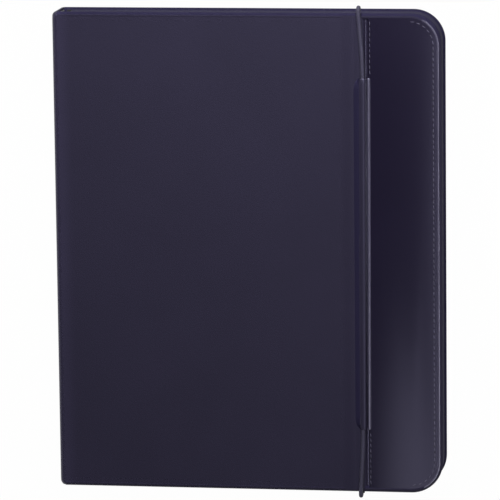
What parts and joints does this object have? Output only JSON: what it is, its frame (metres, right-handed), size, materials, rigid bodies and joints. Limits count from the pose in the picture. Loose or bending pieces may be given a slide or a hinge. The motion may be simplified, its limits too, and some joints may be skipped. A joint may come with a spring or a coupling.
{
  "type": "tablet keyboard case",
  "caption": "Closed leatherette folio for a tablet: grained cover, glossy accent strip, elastic cord, folding spine, tablet tray and a thin keyboard inside.",
  "frame": {"origin": "middle of the rear cover's outer face, on which the closed case lies", "axes": "+X from the spine to the free edge, +Y to the head edge, +Z out of the front cover"},
  "size_m": [0.21, 0.2672, 0.028],
  "materials": {
    "matte_leatherette": "matte grained leatherette, dark blue-violet",
    "gloss_leatherette": "smooth soft-gloss leatherette, darker",
    "greyboard": "pressed grey board",
    "microfibre": "short-pile microfibre",
    "elastic": "braided cover over a rubber core",
    "eyelet_metal": "black enamelled",
    "tray_plastic": "fine-textured black polycarbonate",
    "casing_plastic": "fine-textured black ABS",
    "keycap_plastic": "smooth matte black ABS",
    "soft_rubber": "soft silicone",
    "contact_film": "printed polyester film",
    "steel": "plated steel",
    "battery_foil": "laminated foil pouch",
    "circuit_board": "green solder mask on glass-fibre board",
    "light_pipe": "clear moulded acrylic"
  },
  "bodies": {
    "rear_half": {"rear_skin": "matte_leatherette", "rear_board": "greyboard", "rear_lining": "microfibre", "rear_edge_binding": "matte_leatherette", "rear_crease": "matte_leatherette", "tablet_tray": "tray_plastic", "tray_pad": "microfibre", "tray_surround": "matte_leatherette"},
    "spine": {"spine_skin": "matte_leatherette", "spine_board": "greyboard", "spine_lining": "microfibre", "front_crease": "matte_leatherette"},
    "front_half": {"front_skin": "matte_leatherette", "accent_panel": "gloss_leatherette", "strap_lip": "matte_leatherette", "strap_eyelets": "eyelet_metal", "front_edge_binding": "matte_leatherette", "front_board": "greyboard", "front_lining": "microfibre", "keyboard_base": "casing_plastic", "keyboard_deck": "casing_plastic", "support_plate": "steel", "key_switch_sheet": "contact_film", "key_domes": "soft_rubber", "keyboard_screws": "steel", "battery": "battery_foil", "controller_board": "circuit_board", "charging_socket": "steel", "status_lights": "light_pipe", "screen_bumpers": "soft_rubber", "keyboard_surround": "matte_leatherette"},
    "strap": {"elastic_cord": "elastic"},
    "power_switch": {"power_switch": "keycap_plastic"},
    "pairing_button": {"pairing_button": "keycap_plastic"},
    "function_keys": {"function_keys": "keycap_plastic"},
    "number_keys": {"number_keys": "keycap_plastic"},
    "backspace_key": {"backspace_key": "keycap_plastic"},
    "tab_key": {"tab_key": "keycap_plastic"},
    "upper_letter_keys": {"upper_letter_keys": "keycap_plastic"},
    "caps_key": {"caps_key": "keycap_plastic"},
    "middle_letter_keys": {"middle_letter_keys": "keycap_plastic"},
    "enter_key": {"enter_key": "keycap_plastic"},
    "left_shift_key": {"left_shift_key": "keycap_plastic"},
    "lower_letter_keys": {"lower_letter_keys": "keycap_plastic"},
    "right_shift_key": {"right_shift_key": "keycap_plastic"},
    "modifier_keys": {"modifier_keys": "keycap_plastic"},
    "space_bar": {"space_bar": "keycap_plastic"},
    "arrow_keys": {"arrow_keys": "keycap_plastic"}
  },
  "joints": [
    {"name": "spine_fold", "type": "hinge", "parent": "rear_half", "child": "spine", "pos_m": [-0.1037, 0, 0.0013], "axis": [0, -1, 0], "range_deg": [0, 90], "deforming": ["rear_crease"]},
    {"name": "cover_fold", "type": "hinge", "parent": "spine", "child": "front_half", "pos_m": [-0.1037, 0, 0.0232], "axis": [0, -1, 0], "range_deg": [0, 90], "deforming": ["front_crease"]},
    {"name": "strap_slip", "type": "slide", "parent": "front_half", "child": "strap", "axis": [1, 0, 0], "range_m": [0, 0.046], "deforming": ["elastic_cord"]},
    {"name": "power_slide", "type": "slide", "parent": "front_half", "child": "power_switch", "axis": [1, 0, 0], "range_m": [0, 0.003]},
    {"name": "pairing_press", "type": "slide", "parent": "front_half", "child": "pairing_button", "axis": [0, 0, 1], "range_m": [0, 0.0006], "stiffness_N_per_m": 400, "springref_m": -0.0004},
    {"name": "function_keys_press", "type": "slide", "parent": "front_half", "child": "function_keys", "axis": [0, 0, 1], "range_m": [0, 0.0012], "stiffness_N_per_m": 4000, "springref_m": -0.0004, "deforming": ["key_domes"]},
    {"name": "number_keys_press", "type": "slide", "parent": "front_half", "child": "number_keys", "axis": [0, 0, 1], "range_m": [0, 0.0012], "stiffness_N_per_m": 4000, "springref_m": -0.0004, "deforming": ["key_domes"]},
    {"name": "backspace_key_press", "type": "slide", "parent": "front_half", "child": "backspace_key", "axis": [0, 0, 1], "range_m": [0, 0.0012], "stiffness_N_per_m": 500, "springref_m": -0.0004, "deforming": ["key_domes"]},
    {"name": "tab_key_press", "type": "slide", "parent": "front_half", "child": "tab_key", "axis": [0, 0, 1], "range_m": [0, 0.0012], "stiffness_N_per_m": 500, "springref_m": -0.0004, "deforming": ["key_domes"]},
    {"name": "upper_letter_keys_press", "type": "slide", "parent": "front_half", "child": "upper_letter_keys", "axis": [0, 0, 1], "range_m": [0, 0.0012], "stiffness_N_per_m": 4000, "springref_m": -0.0004, "deforming": ["key_domes"]},
    {"name": "caps_key_press", "type": "slide", "parent": "front_half", "child": "caps_key", "axis": [0, 0, 1], "range_m": [0, 0.0012], "stiffness_N_per_m": 500, "springref_m": -0.0004, "deforming": ["key_domes"]},
    {"name": "middle_letter_keys_press", "type": "slide", "parent": "front_half", "child": "middle_letter_keys", "axis": [0, 0, 1], "range_m": [0, 0.0012], "stiffness_N_per_m": 4000, "springref_m": -0.0004, "deforming": ["key_domes"]},
    {"name": "enter_key_press", "type": "slide", "parent": "front_half", "child": "enter_key", "axis": [0, 0, 1], "range_m": [0, 0.0012], "stiffness_N_per_m": 500, "springref_m": -0.0004, "deforming": ["key_domes"]},
    {"name": "left_shift_key_press", "type": "slide", "parent": "front_half", "child": "left_shift_key", "axis": [0, 0, 1], "range_m": [0, 0.0012], "stiffness_N_per_m": 500, "springref_m": -0.0004, "deforming": ["key_domes"]},
    {"name": "lower_letter_keys_press", "type": "slide", "parent": "front_half", "child": "lower_letter_keys", "axis": [0, 0, 1], "range_m": [0, 0.0012], "stiffness_N_per_m": 4000, "springref_m": -0.0004, "deforming": ["key_domes"]},
    {"name": "right_shift_key_press", "type": "slide", "parent": "front_half", "child": "right_shift_key", "axis": [0, 0, 1], "range_m": [0, 0.0012], "stiffness_N_per_m": 500, "springref_m": -0.0004, "deforming": ["key_domes"]},
    {"name": "modifier_keys_press", "type": "slide", "parent": "front_half", "child": "modifier_keys", "axis": [0, 0, 1], "range_m": [0, 0.0012], "stiffness_N_per_m": 4000, "springref_m": -0.0004, "deforming": ["key_domes"]},
    {"name": "space_bar_press", "type": "slide", "parent": "front_half", "child": "space_bar", "axis": [0, 0, 1], "range_m": [0, 0.0012], "stiffness_N_per_m": 500, "springref_m": -0.0004, "deforming": ["key_domes"]},
    {"name": "arrow_keys_press", "type": "slide", "parent": "front_half", "child": "arrow_keys", "axis": [0, 0, 1], "range_m": [0, 0.0012], "stiffness_N_per_m": 4000, "springref_m": -0.0004, "deforming": ["key_domes"]}
  ]
}
